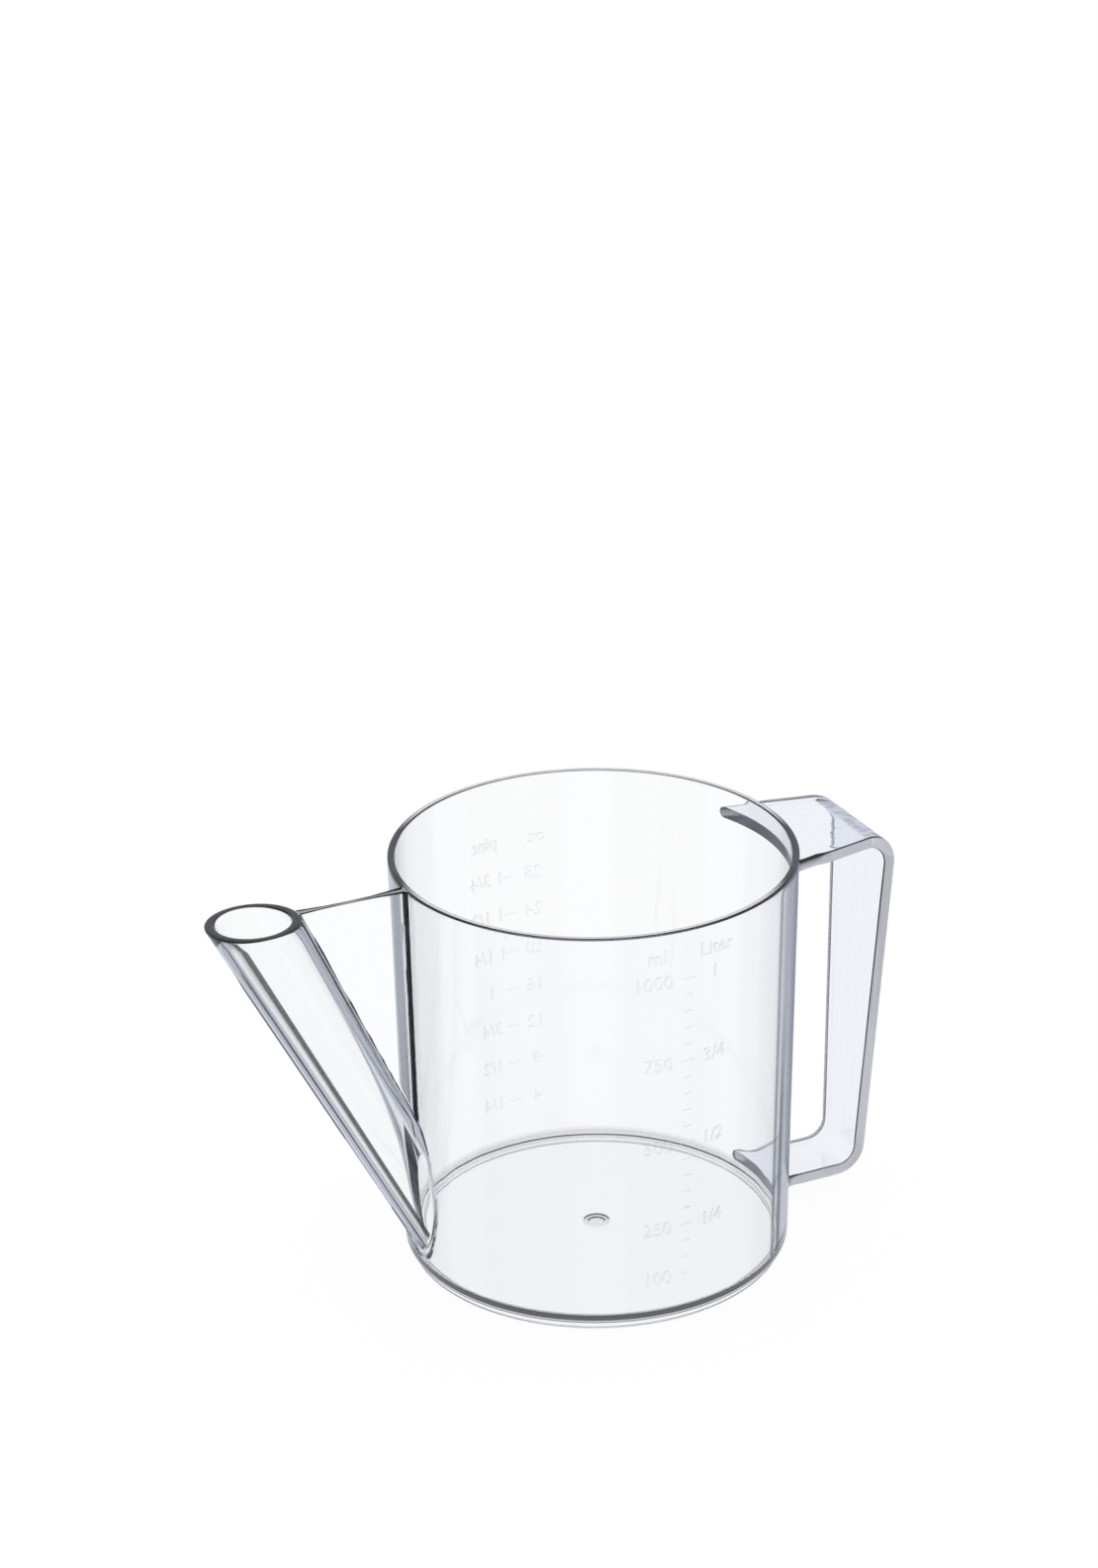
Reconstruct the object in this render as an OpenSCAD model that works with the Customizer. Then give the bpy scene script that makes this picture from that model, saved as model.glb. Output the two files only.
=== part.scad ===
// Gravy fat separator: an open jug moulded in clear plastic, with a spout that rises from the jug's
// foot, a flat web between the spout and the jug, and a strap handle opposite the spout.
// Gravy is poured off from below through the spout, and the fat that floats on it stays in the jug.
// Millimetres. The jug's axis is Z, the table is z = 0, the handle points to +X and the spout to -X.
// The metric scale is on the -Y side, and the scale in pints and fluid ounces on the +Y side.
// The regions of the moulding are separate solids that meet face to face.

/* [Jug] */
// Outer diameter of the jug at its rim
rim_d = 116; // [100:1:140]
// Height of the rim above the table
jug_h = 123.3; // [105:0.1:150]
// Slope of the jug's wall, in degrees from upright
jug_draft = 1; // [0.3:0.1:2.5]
// Thickness of the jug's wall
wall_t = 2; // [1.4:0.1:3.5]
// Radius of the fillet between the wall and the floor
corner_r = 1.5; // [0.5:0.1:4]

/* [Base] */
// Height of the foot ring, from the table to the underside of the floor
foot_h = 2.9; // [1.5:0.1:4]
// Thickness of the foot ring
foot_t = 2; // [1.2:0.1:4]
// Step from the jug's outside in to the foot ring
foot_step = 1.5; // [0.5:0.1:3]
// Thickness of the floor
floor_t = 2.1; // [1.2:0.1:4]
// Diameter of the round moulding mark in the middle of the floor
gate_d = 8; // [4:0.5:14]
// Height of the moulding mark above the floor
gate_h = 0.6; // [0.3:0.1:1.2]

/* [Spout] */
// Distance from the jug's axis to the middle of the spout's lip
spout_reach = 103; // [96:1:115]
// Height at which the spout's axis meets the jug's outside
spout_foot = 28.5; // [26:0.5:40]
// Outer diameter of the spout at its lip, square to its axis
spout_d = 24.3; // [20:0.1:28]
// Taper of the spout towards its foot, in degrees on each side
spout_taper = 1.65; // [0.5:0.05:2]
// Thickness of the spout's wall
spout_t = 2.7; // [1.4:0.1:3.5]
// Thickness of the web between the spout and the jug
web_t = 2.2; // [1.4:0.1:4]

/* [Handle] */
// Distance from the jug's axis to the handle's outside, at the height of its top
handle_reach = 89.7; // [84:0.1:105]
// Slope of the grip, in degrees from upright
grip_lean = 2.8; // [0:0.1:6]
// Drop from the rim to the top of the handle
handle_drop = 6.1; // [3:0.1:20]
// Height of the handle's underside above the table
handle_base = 4.5; // [4:0.1:20]
// Thickness of the handle's strap
strap_t = 3.5; // [2.5:0.1:5]
// Outer radius of the bend at the top of the grip
top_bend_r = 10; // [7:0.5:14]
// Outer radius of the bend at the foot of the grip
foot_bend_r = 9; // [7:0.5:14]
// Width of the upper arm where it meets the jug
arm_w = 43.8; // [36:0.2:56]
// Width of the grip at its top
grip_top_w = 31.4; // [24:0.2:34]
// Width of the grip at its foot
grip_foot_w = 19.8; // [14:0.2:24]
// Width of the lower arm where it meets the jug
pad_w = 29.4; // [26:0.2:40]

/* [Scales] */
// Length of a tick that has a number
long_tick = 4; // [2:0.1:6]
// Length of a tick between the numbers
short_tick = 2.4; // [1:0.1:4]
// Height of the line that a tick draws
tick_line = 0.6; // [0.3:0.1:1.2]
// How far a tick stands out from the wall
tick_h = 0.25; // [0.15:0.05:0.6]
// Least distance from the rim down to the highest tick of the metric scale
metric_room = 12; // [8:1:40]
// Least distance from the rim down to the highest tick of the scale in pints
pint_room = 25; // [8:1:40]

/* [Hidden] */
$fn = 96;
clear = [0.84, 0.89, 0.93, 0.5];
mark = [0.62, 0.68, 0.74, 0.8];

// A cut goes this far past the face that it opens
past = 5;
floor_top = foot_h + floor_t;

// Outer and inner radius of the jug at height z
function jug_r(z) = rim_d / 2 - (jug_h - z) * tan(jug_draft);
function jug_in(z) = jug_r(z) - wall_t;

// Radius of the spout at distance s down its axis from the lip, less a wall
function spout_r(s, wall = 0) = spout_d / 2 - wall - s * tan(spout_taper);
// Lean of the spout, in degrees from upright
spout_lean = atan((spout_reach - rim_d / 2) / (jug_h - spout_foot) + tan(jug_draft));
// Length of the spout's axis from the lip down to the floor
spout_run = (jug_h - floor_top) / cos(spout_lean);

// The handle's top, and the heights of the middles of its two bends
handle_top = jug_h - handle_drop;
top_bend_z = handle_top - top_bend_r;
foot_bend_z = handle_base + foot_bend_r;
// The grip's outer face lies on x cos(grip_lean) - z sin(grip_lean) = grip_k
grip_k = handle_reach * cos(grip_lean) - handle_top * sin(grip_lean);
// How far out that face lies at height z, or a face that much further in
function grip_x(z, inset = 0) = (grip_k - inset + z * sin(grip_lean)) / cos(grip_lean);

// The ticks stand at a right angle to the handle, on both sides of the jug
metric_bearing = -90;
pint_bearing = 90;
// Volumes in millilitres: a pint has four ticks
metric_numbers = [100, 250, 500, 750, 1000];
metric_step = 50;
pint_step = 473.2 / 4;
// The liquid's body is a frustum of a cone. The spout fills with the jug, and adds its bore to the area
level_r = sqrt(pow(jug_in(floor_top), 2) + pow(spout_r(spout_run / 2, spout_t), 2) / cos(spout_lean));
mm3_per_ml = 1000;
// Three times the cone's slope over PI turns a volume into a difference of two radii cubed
cube_per_ml = 3 * tan(jug_draft) * mm3_per_ml / PI;
function level(ml) = floor_top + (pow(pow(level_r, 3) + cube_per_ml * ml, 1 / 3) - level_r) / tan(jug_draft);
function volume(z) = (pow(level_r + (z - floor_top) * tan(jug_draft), 3) - pow(level_r, 3)) / cube_per_ml;

// The space inside the jug's outer surface, or inside a surface that far outside it
module jug_envelope(skin = 0) {
    translate([0, 0, -past])
        cylinder(h = jug_h + 2 * past, r1 = jug_r(-past) + skin, r2 = jug_r(jug_h + past) + skin);
}

// A cone along the spout's axis, from above the lip down to the floor
module spout_cone(wall = 0) {
    above = spout_d;
    translate([-spout_reach, 0, jug_h])
        rotate([0, 180 - spout_lean, 0])
            translate([0, 0, -above])
                cylinder(h = above + spout_run, r1 = spout_r(-above, wall), r2 = spout_r(spout_run, wall));
}

module jug_wall() {
    fillet_z = floor_top + corner_r;
    fillet_x = jug_in(fillet_z) - corner_r / cos(jug_draft);
    color(clear)
        difference() {
            rotate_extrude()
                union() {
                    polygon([[jug_in(floor_top), floor_top], [jug_r(floor_top), floor_top],
                             [jug_r(jug_h), jug_h], [jug_in(jug_h), jug_h]]);
                    difference() {
                        translate([fillet_x, floor_top])
                            square([jug_r(floor_top) - wall_t / 2 - fillet_x, corner_r]);
                        translate([fillet_x, fillet_z])
                            circle(r = corner_r);
                    }
                }
            spout_cone(spout_t);
        }
}

module jug_floor() {
    color(clear)
        translate([0, 0, foot_h])
            cylinder(h = floor_t, r1 = jug_r(foot_h), r2 = jug_r(floor_top));
}

module foot_ring() {
    foot_r = jug_r(0) - foot_step;
    color(clear)
        difference() {
            cylinder(h = foot_h, r = foot_r);
            translate([0, 0, -past])
                cylinder(h = foot_h + 2 * past, r = foot_r - foot_t);
        }
}

// A low dome where the plastic entered the mould
module gate_mark() {
    dome_r = (pow(gate_d / 2, 2) + pow(gate_h, 2)) / (2 * gate_h);
    color(clear)
        translate([0, 0, floor_top])
            rotate_extrude()
                intersection() {
                    translate([0, gate_h - dome_r])
                        circle(r = dome_r, $fn = 4 * $fn);
                    square([gate_d, gate_d]);
                }
}

module spout_tube() {
    color(clear)
        difference() {
            spout_cone();
            spout_cone(spout_t);
            jug_envelope();
            translate([-2 * spout_reach, -spout_d, jug_h])
                cube([2 * spout_reach, 2 * spout_d, 2 * spout_d]);
        }
}

module spout_web() {
    color(clear)
        difference() {
            rotate([90, 0, 0])
                linear_extrude(height = web_t, center = true)
                    polygon([[-jug_in(jug_h), jug_h], [-spout_reach, jug_h], [-jug_r(spout_foot), spout_foot]]);
            spout_cone();
            jug_envelope();
        }
}

// What a bend of radius r round c takes off the corner above it (side 1) or below it (side -1)
module bend_cut(c, r, side) {
    across = 2 * r * [cos(grip_lean), -sin(grip_lean)];
    difference() {
        polygon([c, c + [0, 2 * r * side], c + [2 * r, 2 * r * side], c + across]);
        translate(c)
            circle(r = r);
    }
}

// The area inside the handle's outer face, or inside a face that much further in
module handle_side(inset = 0) {
    top = handle_top - inset;
    foot = handle_base + inset;
    difference() {
        polygon([[0, foot], [grip_x(foot, inset), foot], [grip_x(top, inset), top], [0, top]]);
        bend_cut([grip_x(top_bend_z, top_bend_r), top_bend_z], top_bend_r - inset, 1);
        bend_cut([grip_x(foot_bend_z, foot_bend_r), foot_bend_z], foot_bend_r - inset, -1);
    }
}

// The grip narrows downwards, as seen from the handle's side
module grip_width() {
    half_top = grip_top_w / 2;
    half_foot = grip_foot_w / 2;
    polygon([[-half_foot, 0], [half_foot, 0], [half_foot, foot_bend_z], [half_top, top_bend_z],
             [half_top + 2 * top_bend_r, handle_top], [half_top + 2 * top_bend_r, jug_h],
             [-half_top - 2 * top_bend_r, jug_h], [-half_top - 2 * top_bend_r, handle_top],
             [-half_top, top_bend_z], [-half_foot, foot_bend_z]]);
}

// The upper arm widens towards the jug, as seen from above
module upper_arm_width() {
    slope = (arm_w - grip_top_w) / 2 / (handle_reach - rim_d / 2);
    half_mid = arm_w / 2 + rim_d / 2 * slope;
    half_end = grip_top_w / 2 - past * slope;
    polygon([[0, -half_mid], [handle_reach + past, -half_end], [handle_reach + past, half_end],
             [0, half_mid]]);
}

// The lower arm widens in an arc on each side towards the jug, as seen from above
module lower_arm_width() {
    flare = (pad_w - grip_foot_w) / 2;
    flare_run = 2 * flare;
    flare_r = (pow(flare_run, 2) + pow(flare, 2)) / (2 * flare);
    flare_x = jug_r(handle_base) + flare_run;
    difference() {
        translate([0, -pad_w / 2])
            square([handle_reach + past, pad_w]);
        for (side = [0, 1])
            mirror([0, side]) {
                translate([flare_x, grip_foot_w / 2 + flare_r])
                    circle(r = flare_r);
                translate([flare_x, grip_foot_w / 2])
                    square([handle_reach, pad_w]);
            }
    }
}

module handle_strap() {
    color(clear)
        difference() {
            intersection() {
                rotate([90, 0, 0])
                    linear_extrude(height = 2 * arm_w, center = true)
                        difference() {
                            handle_side();
                            handle_side(strap_t);
                        }
                union() {
                    intersection() {
                        linear_extrude(height = jug_h)
                            upper_arm_width();
                        rotate([90, 0, 90])
                            linear_extrude(height = 2 * handle_reach)
                                grip_width();
                    }
                    linear_extrude(height = handle_base + strap_t + past)
                        lower_arm_width();
                }
            }
            jug_envelope();
        }
}

// A short raised line on the jug's wall, at a height and a bearing
module tick(z, bearing, length) {
    intersection() {
        difference() {
            jug_envelope(tick_h);
            jug_envelope();
        }
        rotate([0, 0, bearing])
            translate([jug_r(z), 0, z])
                cube([2 * wall_t, length, tick_line], center = true);
    }
}

module metric_ticks() {
    color(mark)
        for (ml = [metric_numbers[0] : metric_step : volume(jug_h - metric_room)])
            tick(level(ml), metric_bearing, len(search(ml, metric_numbers)) > 0 ? long_tick : short_tick);
}

module pint_ticks() {
    color(mark)
        for (ml = [pint_step : pint_step : volume(jug_h - pint_room)])
            tick(level(ml), pint_bearing, long_tick);
}

jug_wall();
jug_floor();
foot_ring();
gate_mark();
spout_tube();
spout_web();
handle_strap();
metric_ticks();
pint_ticks();
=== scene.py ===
"""A gravy fat separator: a clear plastic jug with a spout, a web, a strap handle and raised scales."""
import math

import bmesh
import bpy
import numpy as np
from mathutils import Matrix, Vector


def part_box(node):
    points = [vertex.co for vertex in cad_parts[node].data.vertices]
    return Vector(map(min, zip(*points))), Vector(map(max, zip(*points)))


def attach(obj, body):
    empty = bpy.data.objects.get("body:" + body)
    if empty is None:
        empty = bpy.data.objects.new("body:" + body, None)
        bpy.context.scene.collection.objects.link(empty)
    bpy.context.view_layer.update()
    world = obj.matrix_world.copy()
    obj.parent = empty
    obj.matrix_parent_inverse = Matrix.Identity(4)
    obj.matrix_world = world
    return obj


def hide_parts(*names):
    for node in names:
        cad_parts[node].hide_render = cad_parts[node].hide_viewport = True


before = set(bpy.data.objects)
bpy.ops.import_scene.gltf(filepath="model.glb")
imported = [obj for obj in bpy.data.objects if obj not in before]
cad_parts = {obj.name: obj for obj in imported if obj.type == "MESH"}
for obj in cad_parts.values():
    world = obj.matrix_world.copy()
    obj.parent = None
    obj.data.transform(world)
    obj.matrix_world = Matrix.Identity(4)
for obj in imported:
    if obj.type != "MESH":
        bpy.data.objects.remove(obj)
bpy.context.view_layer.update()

# ---- View -------------------------------------------------------------------------------------
# A long lens looks down on the jug from the side that carries the metric scale, with the spout
# on the left and the handle behind on the right.

VIEW_FROM = (-0.4537, -0.9220, 0.5959)
VIEW_HEADING = math.radians(25.52)
VIEW_DOWN = math.radians(23.76)
VIEW_ROLL = math.radians(-0.748)
VIEW_LENS = 92.34
VIEW_SENSOR = 36.0
VIEW_DEPTH = 20.0

camera = bpy.data.objects.new("view_camera", bpy.data.cameras.new("view_camera"))
bpy.context.scene.collection.objects.link(camera)
camera.data.lens = VIEW_LENS
camera.data.sensor_width = VIEW_SENSOR
camera.data.clip_end = VIEW_DEPTH
camera.matrix_world = (Matrix.Translation(VIEW_FROM)
                       @ Matrix.Rotation(-VIEW_HEADING, 4, "Z")
                       @ Matrix.Rotation(math.pi / 2 - VIEW_DOWN, 4, "X")
                       @ Matrix.Rotation(VIEW_ROLL, 4, "Z"))
bpy.context.scene.camera = camera

# ---- Jug --------------------------------------------------------------------------------------
# The jug is one turned form of clear, glossy plastic: a slightly tapered wall with rounded rim edges,
# a floor with a fillet all round and the mark where the plastic came in, and the ring that it stands
# on. Jug, spout and web are one moulding, so they are joined into one mesh.

MM = 0.001
_, jug_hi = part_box("jug_wall")
floor_lo, floor_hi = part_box("jug_floor")
_, ring_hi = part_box("foot_ring")
_, gate_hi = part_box("gate_mark")
RIM_R = jug_hi[0]
RIM_Z = jug_hi[2]
FLOOR_Z = floor_hi[2] - 0.75 * MM
UNDER_Z = floor_lo[2] - 0.7 * MM
JUG_SLOPE = (RIM_R - floor_hi[0]) / (RIM_Z - floor_hi[2])
WALL = 2.0 * MM
RIM_OUT_EDGE = 0.65 * MM
RIM_IN_EDGE = 0.4 * MM
FLOOR_FILLET = 0.9 * MM
FOOT_BEND = 1.2 * MM
FOOT_HAZE_H = 1.4 * MM
RING_IN = ring_hi[0] - 2.0 * MM
RING_EDGE = 0.3 * MM
GATE_R = gate_hi[0]
GATE_STEP = 0.35 * MM
TURNS = 288
PROFILE_STEP = 2 * MM
ON_FACE = 0.03 * MM

CLEAR = (0.995, 0.997, 1.0)
IOR = 1.5
WAVES = (60, 60, 18)
WAVE_H = 0.08 * MM
LINE_TINT = (1.0, 1.01, 1.04)
LINES_HIGH = 90 * MM
LINES_LOW = 55 * MM
LINES_FADE = 2 * MM
# The dark colour painted on the rim as shade where the view runs along the wall.
RIM_PAINTED_SHADE = (0.01, 0.012, 0.016)
RIM_HAZE = (0.92, 0.93, 0.95)
ALONG_WALL = 0.28
ACROSS_WALL = 0.48


def jug_r(z):
    """The jug's outer radius at height z: a straight line from the rim down."""
    return RIM_R - (RIM_Z - z) * JUG_SLOPE


def outline(corners, step, arc_steps=6):
    """An open path through corners (x, z, radius) in a plane.

    Each corner becomes an arc that touches both its sides, about the point r / sin(half angle)
    along their bisector, and each stretch is divided into lengths of at most step.
    """
    spots = np.array([c[:2] for c in corners], float)
    path = [spots[:1]]
    for i in range(1, len(corners) - 1):
        here = spots[i]
        back = (spots[i - 1] - here) / np.linalg.norm(spots[i - 1] - here)
        on = (spots[i + 1] - here) / np.linalg.norm(spots[i + 1] - here)
        half = math.acos(float(np.clip(back @ on, -1, 1))) / 2
        radius = corners[i][2]
        middle = here + (back + on) / np.linalg.norm(back + on) * radius / math.sin(half)
        start = here + back * radius / math.tan(half) - middle
        end = here + on * radius / math.tan(half) - middle
        turn = math.pi - 2 * half
        t = np.linspace(0, 1, arc_steps + 1)[:, None]
        path.append(middle + (np.sin((1 - t) * turn) * start + np.sin(t * turn) * end) / math.sin(turn))
    path.append(spots[-1:])
    path = np.vstack(path)
    lengths = np.linalg.norm(np.diff(path, axis=0), axis=1)
    pieces = [path[:1]]
    for a, b, length in zip(path[:-1], path[1:], lengths, strict=True):
        t = np.linspace(0, 1, max(1, math.ceil(length / step)) + 1)[1:, None]
        pieces.append(a + (b - a) * t)
    return np.vstack(pieces)


def skin(name, rings):
    """A closed mesh over rings, an array of (rings, points, xyz).

    Each ring is joined to the next by quads, and the first and last close in a fan on their middle.
    """
    count, around = rings.shape[:2]
    points = np.vstack([rings.reshape(-1, 3), rings[0].mean(axis=0), rings[-1].mean(axis=0)])
    first, last = count * around, count * around + 1
    k = np.arange(around)
    n = (k + 1) % around
    rows = (np.arange(count - 1) * around)[:, None]
    quads = np.stack([rows + k, rows + n, rows + around + n, rows + around + k], axis=-1).reshape(-1, 4)
    end = (count - 1) * around
    fans = np.vstack([np.stack([n, k, np.full(around, first)], axis=-1),
                      np.stack([end + k, end + n, np.full(around, last)], axis=-1)])
    mesh = bpy.data.meshes.new(name)
    mesh.from_pydata(points.tolist(), [], quads.tolist() + fans.tolist())
    mesh.validate()
    piece = bpy.data.objects.new(name, mesh)
    bpy.context.scene.collection.objects.link(piece)
    return piece


def turned(name, profile):
    """A profile of (radius, height) turned round Z: x = r cos a, y = r sin a."""
    a = np.linspace(0, 2 * math.pi, TURNS, endpoint=False)
    r, z = profile[:, :1], profile[:, 1:]
    return skin(name, np.stack([r * np.cos(a), r * np.sin(a), z + 0 * a], axis=-1))


def cut(piece, *tools, way="DIFFERENCE"):
    """Takes each tool's volume out of the piece, or adds it, and keeps the result as its own mesh.

    The solver leaves an empty slot for a tool without a material, and that goes again.
    """
    for tool in tools:
        step = piece.modifiers.new("cut", "BOOLEAN")
        step.operation = way
        step.solver = "MANIFOLD"
        step.object = tool
        seen = piece.evaluated_get(bpy.context.evaluated_depsgraph_get())
        mesh = bpy.data.meshes.new_from_object(seen)
        while mesh.materials and mesh.materials[-1] is None:
            mesh.materials.pop()
        piece.modifiers.clear()
        piece.data = mesh


def smooth(piece, crease=28):
    """Shades the piece smooth, apart from edges that turn by more than the crease in degrees."""
    piece.data.shade_smooth()
    piece.data.set_sharp_from_angle(angle=math.radians(crease))


def face_middles(piece):
    """The middle of each face, as an array."""
    middles = np.empty(3 * len(piece.data.polygons))
    piece.data.polygons.foreach_get("center", middles)
    return middles.reshape(-1, 3)


def finish(piece, material, faces=None):
    """Adds a material to the piece, for all its faces or for the ones that a mask picks."""
    piece.data.materials.append(material)
    if faces is not None:
        slots = np.zeros(len(faces), np.int32)
        piece.data.polygons.foreach_get("material_index", slots)
        slots[faces] = len(piece.data.materials) - 1
        piece.data.polygons.foreach_set("material_index", slots)


class Socket:
    """An output of a shader node. Sums and products of outputs add their own Math nodes."""

    def __init__(self, tree, output=None):
        self.tree, self.output = tree, output

    def node(self, kind, inputs=None, output=0, **settings):
        """Adds a node of that kind: first its settings, then the values or links of its inputs."""
        new = self.tree.nodes.new(kind)
        for key, value in settings.items():
            if key == "stops":
                ramp = new.color_ramp.elements
                for _ in value[2:]:
                    ramp.new(1.0)
                for stop, (at, colour) in zip(ramp, value, strict=True):
                    stop.position, stop.color = at, (*colour, 1)
            else:
                setattr(new, key, value)
        for key, value in (inputs or {}).items():
            if isinstance(value, Socket):
                self.tree.links.new(value.output, new.inputs[key])
            else:
                new.inputs[key].default_value = value
        return Socket(self.tree, new.outputs[output] if new.outputs else None)

    def math(self, operation, *terms, **settings):
        """Adds a Math node on values or outputs."""
        return self.node("ShaderNodeMath", dict(enumerate(terms)), operation=operation, **settings)

    def into(self, name, socket):
        """Links this output to a socket of a node that the tree already has."""
        self.tree.links.new(self.output, self.tree.nodes[name].inputs[socket])

    def held(self):
        """This output, kept between 0 and 1."""
        return self.math("MULTIPLY", self, 1.0, use_clamp=True)

    def __add__(self, other):
        return self.math("ADD", self, other)

    def __sub__(self, other):
        return self.math("SUBTRACT", self, other)

    def __rsub__(self, other):
        return self.math("SUBTRACT", other, self)

    def __mul__(self, other):
        return self.math("MULTIPLY", self, other)

    def __truediv__(self, other):
        return self.math("DIVIDE", self, other)

    def __rtruediv__(self, other):
        return self.math("DIVIDE", other, self)

    def __pow__(self, other):
        return self.math("POWER", self, other)

    def __rpow__(self, other):
        return self.math("POWER", other, self)

    def __gt__(self, other):
        return self.math("GREATER_THAN", self, other)

    __radd__ = __add__
    __rmul__ = __mul__


def clear_plastic(name, colour=CLEAR, roughness=0.0, waves=WAVES):
    """Clear, glossy plastic whose surface waves very slightly, as moulded plastic does.

    The waves are given as their number in a metre along X, Y and Z.
    """
    material = bpy.data.materials.new(name)
    material.use_nodes = True
    shader = material.node_tree.nodes["Principled BSDF"]
    shader.inputs["Base Color"].default_value = (*colour, 1)
    shader.inputs["Roughness"].default_value = roughness
    shader.inputs["IOR"].default_value = IOR
    shader.inputs["Transmission Weight"].default_value = 1.0
    tree = Socket(material.node_tree)
    place = tree.node("ShaderNodeTexCoord", output="Object")
    place = tree.node("ShaderNodeMapping", {"Vector": place, "Scale": waves})
    height = tree.node("ShaderNodeTexNoise", {"Vector": place, "Scale": 1.0, "Detail": 1.0})
    bump = tree.node("ShaderNodeBump", {"Height": height, "Distance": WAVE_H})
    bump.into("Principled BSDF", "Normal")
    return material


def edge_lines(name, axis, high, low, stops, side=None):
    """Clear plastic round an axis, with dark lines of painted shade near its outline, where a thick round
    wall would show them.

    How far out a ray passes, from 0 at the axis to 1 at the outline, is the root of
    1 - (n.i)^2 / (1 - (a.i)^2), with the surface's normal n, the axis a and the ray i. There the 1
    is a little more, so that a ray along the axis divides by something.
    Two ramps of that paint the shade into the plastic's colour, one above height high and one below height
    low. Each stop holds how far out it is, and the two ramps' values there.
    With side, a direction and a distance, only the part that lies further out that way has the lines.
    """
    material = clear_plastic(name)
    tree = Socket(material.node_tree)
    lean = tree.node("ShaderNodeCombineXYZ", dict(enumerate(map(float, axis))))
    square_on = 1 - tree.node("ShaderNodeLayerWeight", {"Blend": 0.5}, output="Facing")
    end_on = 1 - tree.node("ShaderNodeLayerWeight", {"Blend": 0.5, "Normal": lean}, output="Facing")
    out = (1 - square_on * square_on / (1.0001 - end_on * end_on)).held() ** 0.5
    share = 1 - tree.node("ShaderNodeNewGeometry", output="Backfacing")
    spot = tree.node("ShaderNodeTexCoord", output="Object")
    sunk = ((high - tree.node("ShaderNodeSeparateXYZ", {0: spot}, output="Z")) / (high - low)).held()
    if side is not None:
        reach = tree.node("ShaderNodeVectorMath", {0: spot, 1: tuple(map(float, side[0]))},
                          output="Value", operation="DOT_PRODUCT")
        share = share * ((reach - side[1]) / LINES_FADE).held()
    ramps = [tree.node("ShaderNodeValToRGB", {0: out},
                       stops=[(stop[0], tuple(stop[k] * part for part in LINE_TINT)) for stop in stops])
             for k in (1, 2)]
    ramp = tree.node("ShaderNodeMix", {0: sunk, 6: ramps[0], 7: ramps[1]}, output=2, data_type="RGBA")
    tint = tree.node("ShaderNodeMix", {0: share, 6: (*CLEAR, 1), 7: ramp}, output=2, data_type="RGBA")
    # The painted shade goes into Base Color, so it moves with the angle of view.
    tint.into("Principled BSDF", "Base Color")
    return material


def hazy_plastic(name, haze, share, colour=CLEAR, waves=WAVES):
    """Clear plastic with a share of matt haze, a number or a function that adds nodes for it."""
    material = clear_plastic(name, colour, waves=waves)
    tree = Socket(material.node_tree)
    clear = Socket(material.node_tree, material.node_tree.nodes["Principled BSDF"].outputs[0])
    matt = tree.node("ShaderNodeBsdfDiffuse", {"Color": (*haze, 1)})
    if callable(share):
        share = share(tree)
    both = tree.node("ShaderNodeMixShader", {0: share, 1: clear, 2: matt})
    both.into("Material Output", "Surface")
    return material


def rim_plastic(name, colour, haze_share):
    """Plastic of the rim's flat top and inner edge.

    Where the view runs across the wall, it has its own colour and haze. Where the view runs along
    the wall, the plastic is painted dark: painted shade for the light that a real wall loses there.
    """
    def across(tree):
        """How much the view runs across the wall: |r.i|, with the outward direction r and the ray i."""
        spot = tree.node("ShaderNodeTexCoord", output="Object")
        level = tree.node("ShaderNodeVectorMath", {0: spot, 1: (1, 1, 0)}, operation="MULTIPLY")
        outward = tree.node("ShaderNodeVectorMath", {0: level}, operation="NORMALIZE")
        facing = tree.node("ShaderNodeLayerWeight", {"Blend": 0.5, "Normal": outward}, output="Facing")
        return ((1 - facing - ALONG_WALL) / (ACROSS_WALL - ALONG_WALL)).held()

    material = hazy_plastic(name, RIM_HAZE, lambda tree: across(tree) * haze_share, colour)
    tree = Socket(material.node_tree)
    # Where the view runs along the wall, the colour is painted dark: painted shade.
    tint = tree.node("ShaderNodeMix", {0: across(tree), 6: (*RIM_PAINTED_SHADE, 1), 7: (*colour, 1)},
                     output=2, data_type="RGBA")
    tint.into("Principled BSDF", "Base Color")
    return material


jug_profile = outline([
    (0, UNDER_Z, 0),
    (RING_IN, UNDER_Z, RING_EDGE),
    (RING_IN, 0, RING_EDGE),
    (ring_hi[0], 0, RING_EDGE),
    (ring_hi[0], UNDER_Z, RING_EDGE),
    (jug_r(UNDER_Z), UNDER_Z, FOOT_BEND),
    (RIM_R, RIM_Z, RIM_OUT_EDGE),
    (RIM_R - WALL, RIM_Z, RIM_IN_EDGE),
    (jug_r(FLOOR_Z) - WALL, FLOOR_Z, FLOOR_FILLET),
    (GATE_R, FLOOR_Z, 0.3 * MM),
    (0.84 * GATE_R, FLOOR_Z - GATE_STEP, 0.3 * MM),
    (0.72 * GATE_R, FLOOR_Z - GATE_STEP, 0.2 * MM),
    (0.56 * GATE_R, FLOOR_Z - 2 * GATE_STEP, 0.3 * MM),
    (0, FLOOR_Z - 2 * GATE_STEP, 0),
], PROFILE_STEP)[1:-1]
jug = turned("jug", jug_profile)
finish(jug, clear_plastic("clear_plastic"))
spots = face_middles(jug)
height = spots[:, 2]
off_axis = np.hypot(spots[:, 0], spots[:, 1])
off_wall = off_axis - jug_r(height)
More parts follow.
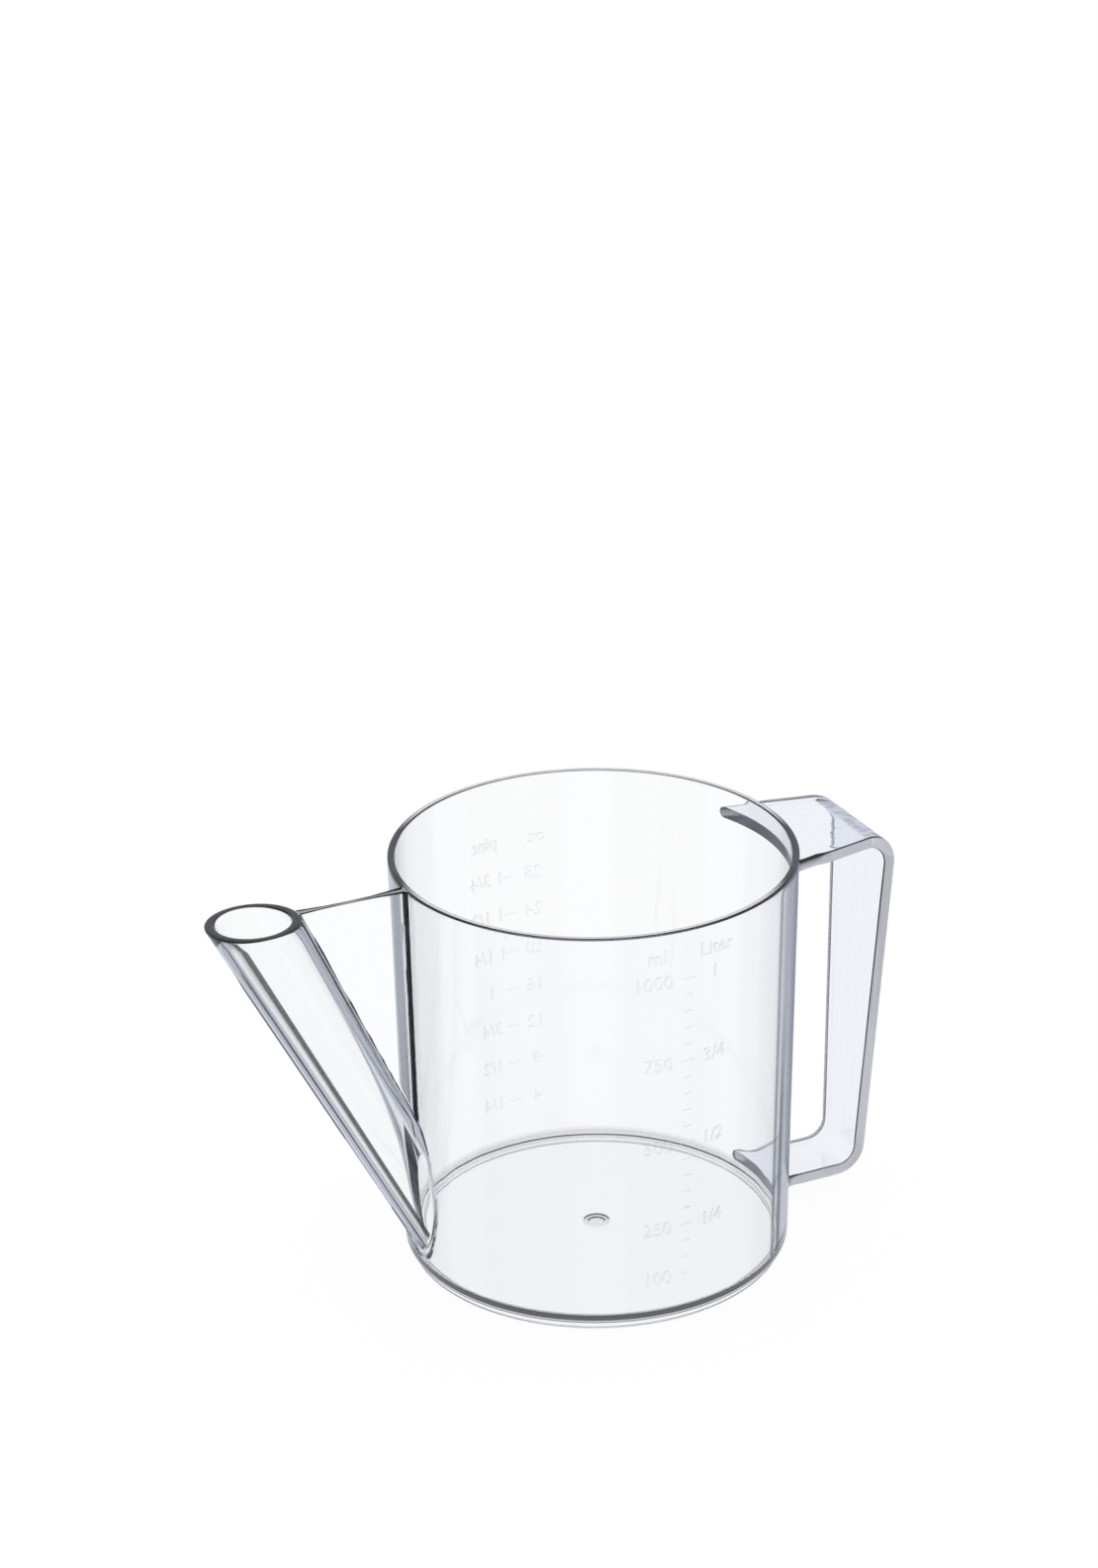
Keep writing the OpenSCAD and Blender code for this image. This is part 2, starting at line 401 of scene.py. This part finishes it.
# The jug's outer wall gets dark lines of painted shade near its outline.
finish(jug, edge_lines("jug_outside_painted_shade", (0, 0, 1), LINES_HIGH, LINES_LOW, (
    (0.0, 1, 1), (0.907, 1, 1), (0.914, 0.75, 0.75), (0.919, 0.12, 0.07), (0.927, 0.12, 0.07),
    (0.932, 0.5, 0.6), (0.940, 0.42, 0.5), (0.944, 0.38, 0.01), (0.956, 0.34, 0.01),
    (0.962, 0.42, 0.5), (0.967, 1, 1), (0.984, 1, 1), (0.990, 0.4, 0.4), (1.0, 0.3, 0.3))),
    np.abs(off_wall) < ON_FACE)
rim_top = (height > RIM_Z - RIM_OUT_EDGE) & (off_wall < -ON_FACE)
rim_flat = rim_top & (off_wall < -RIM_OUT_EDGE) & (off_wall > RIM_IN_EDGE - WALL)
rim_inner = (height > RIM_Z - RIM_IN_EDGE) & (off_wall < RIM_IN_EDGE - WALL) & (off_wall > -WALL)
# The rim's rounded outer edge is painted near black and its inner edge dark grey: painted shade for the
# dark lines along the rim.
finish(jug, clear_plastic("rim_edge_painted_shade", (0.03, 0.04, 0.055)), rim_top & (off_wall > -RIM_OUT_EDGE))
finish(jug, rim_plastic("rim_inner_edge_painted_shade", (0.25, 0.27, 0.30), 0.0), rim_inner)
finish(jug, rim_plastic("rim_land_painted_shade", CLEAR, 0.7), rim_flat)
by_wall = (height < FLOOR_Z + FLOOR_FILLET) & (off_wall > -WALL - FLOOR_FILLET)
in_fillet = by_wall & (off_wall < -WALL) & (height > FLOOR_Z)
in_gate = (off_axis < GATE_R) & (height > UNDER_Z + 0.1 * MM)
finish(jug, hazy_plastic("floor_edge", (0.9, 0.9, 0.9), 0.35), in_fillet | in_gate)
on_foot = (off_wall > -ON_FACE) & (height < FLOOR_Z + FOOT_HAZE_H)
finish(jug, hazy_plastic("foot_edge", (0.8, 0.8, 0.8), 0.12), (by_wall & ~in_fillet) | on_foot)
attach(jug, "root")
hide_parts("jug_wall", "jug_floor", "foot_ring", "gate_mark")

# ---- Spout ------------------------------------------------------------------------------------
# The spout is a tapered tube of the same clear moulding. It leans out from the jug's foot to the
# height of the rim, where its lip is cut level. Its bore runs through the jug's wall.

_, lip_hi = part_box("spout_tube")
LIP_R = lip_hi[1]
SPOUT_LEAN = math.radians(26.2)
SPOUT_TAPER = math.tan(math.radians(1.65))
SPOUT_REACH = 103.0 * MM
SPOUT_WALL = 2.7 * MM
LIP_EDGE = 0.75 * MM
SPOUT_FILLET = 1.0 * MM
RIDGE_H = 0.28 * MM
RIDGE_HALF = math.radians(5.5)
RIDGE_FROM = 11 * MM
RIDGE_RUN = 3 * MM
BORE_STOP_X = 47.5 * MM
TUBE_STOP_X = 46.0 * MM
SEAT = 1.0 * MM
FLARE_PAST = 0.3 * MM
AROUND_TUBE = 208
AROUND_BORE = 176
CROWD_FROM = 0.6
ON_TUBE = 0.04 * MM
TUBE_LINES_HIGH = 110 * MM
TUBE_LINES_LOW = 80 * MM
TUBE_LINES_OUT = 1 * MM

LIP = np.array([-SPOUT_REACH, 0, RIM_Z])
ALONG = np.array([math.sin(SPOUT_LEAN), 0, -math.cos(SPOUT_LEAN)])
OUT = np.array([-math.cos(SPOUT_LEAN), 0, -math.sin(SPOUT_LEAN)])
SIDE = np.array([0, 1.0, 0])


def flare(gap, radius, start=0.12):
    """How far a fillet of that radius stands off a surface at distance gap from the other one.

    It is a quarter circle, r - sqrt(r^2 - (r - gap)^2), that goes on straight from gap = start * r
    to a little way inside the other surface.
    """
    near = start * radius
    g = np.clip(gap, near, radius)
    rise = radius - np.sqrt(radius ** 2 - (radius - g) ** 2)
    slope = (radius - near) / math.sqrt(radius ** 2 - (radius - near) ** 2)
    return rise + slope * np.clip(near - gap, 0, near + FLARE_PAST)


def cone_points(run, angle, radius_off, grow=0.0):
    """Points on the spout's cone at distance run down its axis and at an angle from its outer side.

    With grow, the fillet's radius, they stand off near the jug, and in the low ridge where the
    mould parts.
    """
    r = LIP_R - radius_off - run * SPOUT_TAPER
    around = np.cos(angle)[..., None] * OUT + np.sin(angle)[..., None] * SIDE
    spots = LIP + run[..., None] * ALONG + r[..., None] * around
    if grow:
        off_ridge = np.abs(np.where(angle > math.pi, angle - 2 * math.pi, angle))
        ridge = np.clip(1 - off_ridge / RIDGE_HALF, 0, 1)
        r = r + RIDGE_H * ridge * np.clip((run - RIDGE_FROM) / RIDGE_RUN, 0, 1)
        spots = LIP + run[..., None] * ALONG + r[..., None] * around
        gap = np.hypot(spots[..., 0], spots[..., 1]) - jug_r(spots[..., 2])
        spots = spots + flare(gap, grow)[..., None] * around
    return spots


def spout_rings(radius_off, edge, end, above, around, grow=0.0):
    """Rings of the spout's outside or bore, from its level top down to distance end along the axis.

    The edge of the lip turns over in a quarter circle, inwards or, for a bore, outwards. With
    above, a first ring stands that far over the top. With grow, the rings crowd towards the jug,
    where the fillet starts.
    """
    a = np.linspace(0, 2 * math.pi, around, endpoint=False)
    sin, cos = math.sin(SPOUT_LEAN), math.cos(SPOUT_LEAN)

    def run_at(z):
        """The run at height z: (drop - r0 cos(a) sin(lean)) / (cos(lean) - taper cos(a) sin(lean))."""
        return (RIM_Z - z - (LIP_R - radius_off) * np.cos(a) * sin) / (cos - SPOUT_TAPER * np.cos(a) * sin)

    rings = []
    for t in np.linspace(0, math.pi / 2, 6):
        z = RIM_Z - abs(edge) * (1 - math.cos(t))
        ring = cone_points(run_at(z), a, radius_off)
        middle = LIP + (RIM_Z - z) / cos * ALONG
        inward = middle - ring
        inward /= np.linalg.norm(inward, axis=1)[:, None]
        rings.append(ring + inward * edge * (1 - math.sin(t)))
    if above:
        rings.insert(0, rings[0] + [0, 0, above])
    start = run_at(RIM_Z - abs(edge))
    share = np.linspace(0, 1, 25)[1:]
    if grow:
        share = np.concatenate([CROWD_FROM * share, np.linspace(CROWD_FROM, 1, 97)[1:]])
    for t in share:
        rings.append(cone_points(start + (end - start) * t, a, radius_off, grow))
    return np.array(rings)


def tube_gap(spots):
    """Distance of points from the spout's cone."""
    run = (spots - LIP) @ ALONG
    off = np.linalg.norm(spots - LIP - run[..., None] * ALONG, axis=-1)
    return off - (LIP_R - run * SPOUT_TAPER)


def envelope(name, gap):
    """The jug's outside as a plain cone that goes on past its rim and foot."""
    past = 5 * MM
    z = np.linspace(-past, RIM_Z + past, 40)
    return turned(name, np.stack([jug_r(z) + gap, z], axis=-1))


bore_end = (SPOUT_REACH - BORE_STOP_X) / math.sin(SPOUT_LEAN)
tube_end = (SPOUT_REACH - TUBE_STOP_X) / math.sin(SPOUT_LEAN)
bore = skin("bore", spout_rings(SPOUT_WALL, -LIP_EDGE, bore_end, 3 * MM, AROUND_BORE))
wall_space = envelope("wall_space", -SEAT)
spout = skin("spout", spout_rings(0, LIP_EDGE, tube_end, 0, AROUND_TUBE, SPOUT_FILLET))
cut(spout, wall_space)
cut(jug, spout, way="UNION")
cut(jug, bore)
spots = face_middles(jug)
on_tube = (np.abs(tube_gap(spots)) < ON_TUBE) & ((spots - LIP) @ ALONG > -0.5 * LIP_R)
outer_side = (OUT, float(LIP @ OUT) - TUBE_LINES_OUT)
# The spout's outer side gets dark lines of painted shade near its outline.
finish(jug, edge_lines("spout_outside_painted_shade", ALONG, TUBE_LINES_HIGH, TUBE_LINES_LOW, (
    (0.0, 1, 1), (0.485, 1, 1), (0.50, 0.03, 0.1), (0.515, 0.02, 0.03), (0.55, 0.02, 0.005),
    (0.59, 0.015, 0.03), (0.61, 0.05, 0.06), (0.65, 0.42, 0.6), (0.69, 0.55, 0.9), (0.73, 1, 1),
    (0.80, 0.9, 1), (0.815, 0.12, 0.06), (0.845, 0.12, 0.06), (0.865, 0.9, 1), (0.90, 0.8, 0.6),
    (0.95, 0.8, 1), (1.0, 0.8, 1)), outer_side), on_tube)
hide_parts("spout_tube")

# ---- Web --------------------------------------------------------------------------------------
# The web is a flat plate of the same clear moulding, which fills the angle between the spout and the
# jug up to the rim. It thickens in a fillet where it meets either of them.

WEB_HALF = 1.1 * MM
WEB_FILLET = 1.2 * MM
TUBE_FILLET = 0.5 * MM
WEB_TOP = RIM_Z - 0.05 * MM
WEB_FOOT = RIM_Z - 76 * MM
WEB_EDGE = 0.35 * MM
IN_TUBE = 1.5 * MM
IN_WALL = 1.2 * MM
WEB_ROWS = 90
WEB_COLUMNS = 36


def tube_x(z):
    """Where the spout's inner side crosses the web's plane at height z."""
    sin, cos = math.sin(SPOUT_LEAN), math.cos(SPOUT_LEAN)
    run = (RIM_Z - z + LIP_R * sin) / (cos + SPOUT_TAPER * sin)
    return -SPOUT_REACH + run * sin + (LIP_R - run * SPOUT_TAPER) * cos


heights = np.linspace(WEB_FOOT, WEB_TOP - WEB_EDGE, WEB_ROWS)
turn = np.linspace(0, math.pi / 2, 6)[::-1][1:]
heights = np.concatenate([heights, WEB_TOP - WEB_EDGE * (1 - np.cos(turn))])
narrow = np.concatenate([np.zeros(WEB_ROWS), WEB_EDGE * (1 - np.sin(turn))])
across = 0.5 - 0.5 * np.cos(np.linspace(0, math.pi, WEB_COLUMNS))
left = tube_x(heights) - IN_TUBE
right = IN_WALL - jug_r(heights)
x = left[:, None] + (right - left)[:, None] * across
z = heights[:, None] + 0 * x
face = np.stack([x, 0 * x + WEB_HALF, z], axis=-1)
wall_gap = np.hypot(x, WEB_HALF) - jug_r(z)
half = WEB_HALF + flare(wall_gap, WEB_FILLET) + flare(tube_gap(face), TUBE_FILLET) - narrow[:, None]
front = np.stack([x, -half, z], axis=-1)
back = np.stack([x, half, z], axis=-1)[:, ::-1]
web = skin("web", np.concatenate([front, back], axis=1))
cut(web, wall_space)
cut(jug, web, way="UNION")
spots = face_middles(jug)
on_top = (spots[:, 2] > WEB_TOP - 0.1 * MM) & (spots[:, 2] < WEB_TOP + 0.02 * MM)
on_top &= (np.abs(spots[:, 1]) < 4 * MM) & (spots[:, 0] < -RIM_R) & (spots[:, 0] > tube_x(WEB_TOP))
finish(jug, hazy_plastic("web_top", (0.9, 0.9, 0.9), 0.3), on_top)
smooth(jug)
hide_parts("spout_web")

# ---- Handle -----------------------------------------------------------------------------------
# The handle is a flat strap of the same clear plastic, moulded with the jug, a little frosted on its
# narrow sides. Its level arms meet the jug under the rim and above the foot, where their ends are
# painted dark grey as painted shade, and its grip leans in and narrows downwards. The strap's edges are
# rounded.

handle_lo, handle_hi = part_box("handle_strap")
STRAP = 3.5 * MM
STRAP_EDGE = 0.55 * MM
GRIP_LEAN = math.radians(2.8)
TOP_BEND = 10.0 * MM
LOW_BEND = 9.0 * MM
ARM_HALF = 21.9 * MM
GRIP_TOP_HALF = 15.7 * MM
GRIP_FOOT_HALF = 9.9 * MM
PAD_FLARE = 3.8 * MM
PAD_RUN = 6.5 * MM
GAP = 0.02 * MM
ROOT_X = 48 * MM
ROOT_ROUND = 0.48 * STRAP
ROOT_FULL = 3 * MM
ROOT_FADE = 5 * MM
HANDLE_COLOUR = (0.92, 0.93, 0.965)
HANDLE_HAZE = (0.78, 0.79, 0.82)
HANDLE_WAVES = (40, 350, 12)
FROST_FROM = 0.72
FROST_RANGE = 0.2
FROST_SHARE = 0.44

top_bend_z = handle_hi[2] - TOP_BEND
foot_bend_z = handle_lo[2] + LOW_BEND
grip_k = (handle_hi[0] - TOP_BEND) * math.cos(GRIP_LEAN) + TOP_BEND - top_bend_z * math.sin(GRIP_LEAN)


def grip_x(z, inset):
    """How far out the grip lies at height z, that far in from its outer face."""
    return (grip_k - inset + z * math.sin(GRIP_LEAN)) / math.cos(GRIP_LEAN)


arm_z = handle_hi[2] - STRAP / 2
foot_z = handle_lo[2] + STRAP / 2
path = outline([
    (ROOT_X, arm_z, 0),
    (grip_x(arm_z, STRAP / 2), arm_z, TOP_BEND - STRAP / 2),
    (grip_x(foot_z, STRAP / 2), foot_z, LOW_BEND - STRAP / 2),
    (ROOT_X, foot_z, 0),
], 0.8 * MM, arc_steps=16)
along = np.gradient(path, axis=0)
along /= np.linalg.norm(along, axis=1)[:, None]
px, pz = path[:, 0], path[:, 1]
grip_share = np.clip((pz - foot_bend_z) / (top_bend_z - foot_bend_z), 0, 1)
half_width = GRIP_FOOT_HALF + (GRIP_TOP_HALF - GRIP_FOOT_HALF) * grip_share
bend_x = grip_x(top_bend_z, STRAP / 2)
arm_slope = (ARM_HALF - GRIP_TOP_HALF) / (bend_x - RIM_R)
half_width += np.where(pz > top_bend_z, arm_slope * (bend_x - px), 0)
flare_r = (PAD_RUN ** 2 + PAD_FLARE ** 2) / (2 * PAD_FLARE)
into = np.clip(jug_r(foot_z) + PAD_RUN - px, 0, PAD_RUN)
half_width += np.where(pz < foot_bend_z, flare_r - np.sqrt(flare_r ** 2 - into ** 2), 0)

# The strap's cross-section goes round four rounded edges and the two broad faces between them. Its
# edges are rounder at the roots.
quarter = np.linspace(0, math.pi / 2, 6)
span = np.linspace(1, -1, 24)[1:-1]
one = np.ones(6)
sides = np.concatenate([one, span, -one, -one, -span, one])
faces = np.concatenate([one, 0 * span + 1, one, -one, 0 * span - 1, -one])
turn_sin, turn_cos = np.sin(quarter), np.cos(quarter)
edge_x = np.concatenate([turn_cos, 0 * span, -turn_sin, -turn_cos, 0 * span, turn_sin])
edge_z = np.concatenate([turn_sin, 0 * span + 1, turn_cos, -turn_sin, 0 * span - 1, -turn_cos])
normal = np.stack([-along[:, 1], 0 * px, along[:, 0]], axis=-1)
middle = np.stack([px, 0 * px, pz], axis=-1)
near_wall = np.clip(1 - (px - jug_r(pz) - ROOT_FULL) / ROOT_FADE, 0, 1)
edge = (STRAP_EDGE + (ROOT_ROUND - STRAP_EDGE) * near_wall ** 2)[:, None]
wide = sides * (half_width[:, None] - edge) + edge * edge_x
thick = faces * (STRAP / 2 - edge) + edge * edge_z
spots = middle[:, None] + wide[..., None] * SIDE + thick[..., None] * normal[:, None]
handle = skin("handle", spots)
jug_space = envelope("jug_space", GAP)
cut(handle, jug_space)
for tool in (bore, wall_space, jug_space, spout, web):
    bpy.data.objects.remove(tool)


def side_frost(tree):
    """A share of frost on the faces that look sideways, and none on the strap's broad faces."""
    facing = tree.node("ShaderNodeTexCoord", output="Normal")
    sideways = tree.math("ABSOLUTE", tree.node("ShaderNodeSeparateXYZ", {0: facing}, output="Y"))
    return ((sideways - FROST_FROM) / FROST_RANGE).held() * FROST_SHARE


finish(handle, hazy_plastic("handle_plastic", HANDLE_HAZE, side_frost, HANDLE_COLOUR, HANDLE_WAVES))
spots = face_middles(handle)
at_root = np.abs(np.hypot(spots[:, 0], spots[:, 1]) - jug_r(spots[:, 2]) - GAP) < ON_FACE
# The ends that meet the jug are painted dark grey: painted shade for how they look through the wall.
finish(handle, clear_plastic("handle_root_painted_shade", (0.20, 0.21, 0.22), 0.45), at_root)
smooth(handle)
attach(handle, "root")
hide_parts("handle_strap")

# ---- Scales -----------------------------------------------------------------------------------
# Both scales stand out of the jug's wall as low raised lines and numbers, moulded with it: litres
# and millilitres on the -Y side, pints and fluid ounces on the +Y side.

WORD_H = 0.11 * MM
TICK_H = 0.0495 * MM
MARK_GAP = 0.045 * MM
LINE = 0.6 * MM
LINE_TOP = 0.64
LONG_TICK = 4.0 * MM
SHORT_TICK = 2.4 * MM
LETTER = 4.1 * MM
CAPITAL_SHARE = 0.7


def wrapped(flat, bearing, height):
    """Lays flat points (x, y, depth) on the wall: angle = bearing + x / radius, radius = wall + depth."""
    z = height + flat[:, 1]
    r = jug_r(z) + MARK_GAP + flat[:, 2]
    a = math.radians(bearing) + flat[:, 0] / RIM_R
    return np.stack([r * np.cos(a), r * np.sin(a), z], axis=-1)


def line_mark(length, bearing, height):
    """A raised line: a low bar with slanting long sides, bent round the wall."""
    cells = 8
    x = np.linspace(-length / 2, length / 2, cells + 1)
    top = LINE_TOP * LINE
    ring = np.array([(-LINE, 0), (LINE, 0), (top, 2 * TICK_H), (-top, 2 * TICK_H)]) / 2
    flat = np.stack(np.broadcast_arrays(x[:, None], ring[:, 0], ring[:, 1]), axis=-1)
    points = wrapped(flat.reshape(-1, 3), bearing, height)
    k = np.arange(4)
    n = (k + 1) % 4
    rows = (np.arange(cells) * 4)[:, None]
    quads = np.stack([rows + k, rows + 4 + k, rows + 4 + n, rows + n], axis=-1).reshape(-1, 4)
    end = cells * 4
    ends = np.array([[0, 1, 2, 3], [end + 3, end + 2, end + 1, end]])
    return points, np.vstack([quads, ends]).tolist()


def word_mark(text, bearing, height, side="CENTER"):
    """A raised number or word, centred on its place or ending there, and bent round the wall."""
    curve = bpy.data.curves.new("word", "FONT")
    curve.body = text
    curve.size = LETTER / CAPITAL_SHARE
    curve.align_x = side
    curve.align_y = "CENTER"
    curve.extrude = WORD_H / 2
    curve.resolution_u = 3
    word = bpy.data.objects.new("word", curve)
    bpy.context.scene.collection.objects.link(word)
    seen = word.evaluated_get(bpy.context.evaluated_depsgraph_get())
    mesh = bpy.data.meshes.new_from_object(seen)
    tidy = bmesh.new()
    tidy.from_mesh(mesh)
    bmesh.ops.remove_doubles(tidy, verts=tidy.verts, dist=1e-6)
    flat = np.array([v.co[:] for v in tidy.verts])
    flat[:, 2] += WORD_H / 2
    faces = [[v.index for v in f.verts] for f in tidy.faces]
    tidy.free()
    bpy.data.objects.remove(word)
    bpy.data.curves.remove(curve)
    bpy.data.meshes.remove(mesh)
    return wrapped(flat, bearing, height), faces


def scale_piece(name, marks):
    """One mesh from many marks, each given as its points and its faces."""
    points, faces, base = [], [], 0
    for spots, around in marks:
        points.append(spots)
        faces += [[base + i for i in face] for face in around]
        base += len(spots)
    mesh = bpy.data.meshes.new(name)
    mesh.from_pydata(np.vstack(points).tolist(), [], faces)
    mesh.validate()
    piece = bpy.data.objects.new(name, mesh)
    bpy.context.scene.collection.objects.link(piece)
    return piece


ML = 1e-6
FILL_R = 54.52 * MM


def level_of(ml):
    """The height that a volume fills jug and spout to.

    Both together widen upwards like one circle of radius r, from FILL_R at the floor, so that the
    volume is pi (r1^3 - r0^3) / (3 slope).
    """
    r1 = (FILL_R ** 3 + 3 * JUG_SLOPE * ml * ML / math.pi) ** (1 / 3)
    return floor_hi[2] + (r1 - FILL_R) / JUG_SLOPE


METRIC_WORDS_Z = 116 * MM
marks = []
for ml in range(100, 1001, 50):
    marks.append(line_mark(LONG_TICK if ml % 250 == 0 else SHORT_TICK, -90, level_of(ml)))
for text, ml in (("1", 1000), ("3/4", 750), ("1/2", 500), ("1/4", 250)):
    marks.append(word_mark(text, -81.5, level_of(ml)))
for ml in (1000, 750, 500, 250, 100):
    marks.append(word_mark(str(ml), -94.3, level_of(ml) - 0.4 * MM, "RIGHT"))
marks.append(word_mark("Liter", -81.0, METRIC_WORDS_Z))
marks.append(word_mark("ml", -99.0, METRIC_WORDS_Z))
metric_scale = scale_piece("metric_scale", marks)
finish(metric_scale, clear_plastic("mark_plastic"))
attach(metric_scale, "root")
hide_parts("metric_ticks")

QUARTER_PINT = 118.3
PINT_WORDS_Z = 103 * MM
marks = []
for quarters, text in enumerate(("1/4", "1/2", "3/4", "1", "1 1/4", "1 1/2", "1 3/4"), 1):
    at = level_of(QUARTER_PINT * quarters)
    marks.append(line_mark(LONG_TICK, 90, at))
    marks.append(word_mark(text, 97.5, at))
    marks.append(word_mark(str(4 * quarters), 82.3, at))
marks.append(word_mark("pint", 98.0, PINT_WORDS_Z))
marks.append(word_mark("oz", 81.0, PINT_WORDS_Z))
pint_scale = scale_piece("pint_scale", marks)
finish(pint_scale, metric_scale.data.materials[0])
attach(pint_scale, "root")
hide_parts("pint_ticks")

# ---- Stage ------------------------------------------------------------------------------------
# A plain studio: a white floor without edges that keeps the soft shadow, white air all round, and
# soft grey and pale strips that only the plastic's reflections see, a quarter turn apart.

STRIPS_HEADING = VIEW_HEADING - math.radians(3)
FIRST_REFLECTION = (0.8, 0.84, 0.94)
GREY_STRIP = (0.41, 0.43, 0.48)
LATER_SHARE = 0.8
PAPER_GLOW = 0.93
PAPER_MATT = 0.08
FLOOR_HALF = 8.0
FLOOR_DROP = 0.03 * MM

bpy.context.scene.view_settings.view_transform = "Standard"

world = bpy.data.worlds.new("studio")
bpy.context.scene.world = world
world.use_nodes = True
air = Socket(world.node_tree)
glossy = air.node("ShaderNodeLightPath", output="Glossy Depth")
inside = air.node("ShaderNodeLightPath", output="Transmission Depth") > 0.5
way = air.node("ShaderNodeTexCoord", output="Generated")
east = air.node("ShaderNodeSeparateXYZ", {0: way}, output="X")
north = air.node("ShaderNodeSeparateXYZ", {0: way}, output="Y")
level = (east * east + north * north + 1e-6) ** 0.5
ahead = (east * math.sin(STRIPS_HEADING) + north * math.cos(STRIPS_HEADING)) / level
square = ahead * ahead
quarter_turns = 8 * square * square - 8 * square + 1
strips = air.node("ShaderNodeValToRGB", {0: 0.5 * quarter_turns + 0.5}, stops=[
    (0.2, (0.50, 0.53, 0.60)), (0.32, GREY_STRIP), (0.68, GREY_STRIP), (0.8, (0.66, 0.70, 0.79))])
mirrored = air.node("ShaderNodeMix", {0: inside, 6: (*FIRST_REFLECTION, 1), 7: strips},
                    output=2, data_type="RGBA")
struck = glossy > 0.5
tone = air.node("ShaderNodeMix", {0: struck, 6: (1, 1, 1, 1), 7: mirrored}, output=2, data_type="RGBA")
tone.into("Background", "Color")
(struck * LATER_SHARE ** (glossy - 1) + (1 - struck)).into("Background", "Strength")

floor_mesh = bpy.data.meshes.new("stage_floor")
corners = [(FLOOR_HALF * x, FLOOR_HALF * y, -FLOOR_DROP) for x, y in ((-1, -1), (1, -1), (1, 1), (-1, 1))]
floor_mesh.from_pydata(corners, [], [(0, 1, 2, 3)])
floor = bpy.data.objects.new("stage_floor", floor_mesh)
bpy.context.scene.collection.objects.link(floor)
paper = bpy.data.materials.new("stage_floor")
paper.use_nodes = True
paper.node_tree.nodes.clear()
ground = Socket(paper.node_tree)
glow = ground.node("ShaderNodeEmission", {"Strength": PAPER_GLOW})
matt = ground.node("ShaderNodeBsdfDiffuse", {"Color": (PAPER_MATT, PAPER_MATT, PAPER_MATT, 1)})
lit = ground.node("ShaderNodeAddShader", {0: glow, 1: matt})
open_air = ground.node("ShaderNodeBsdfTransparent")
struck = ground.node("ShaderNodeLightPath", output="Glossy Depth") > 0.5
both = ground.node("ShaderNodeMixShader", {0: struck, 1: lit, 2: open_air})
ground.node("ShaderNodeOutputMaterial", {0: both})
finish(floor, paper)
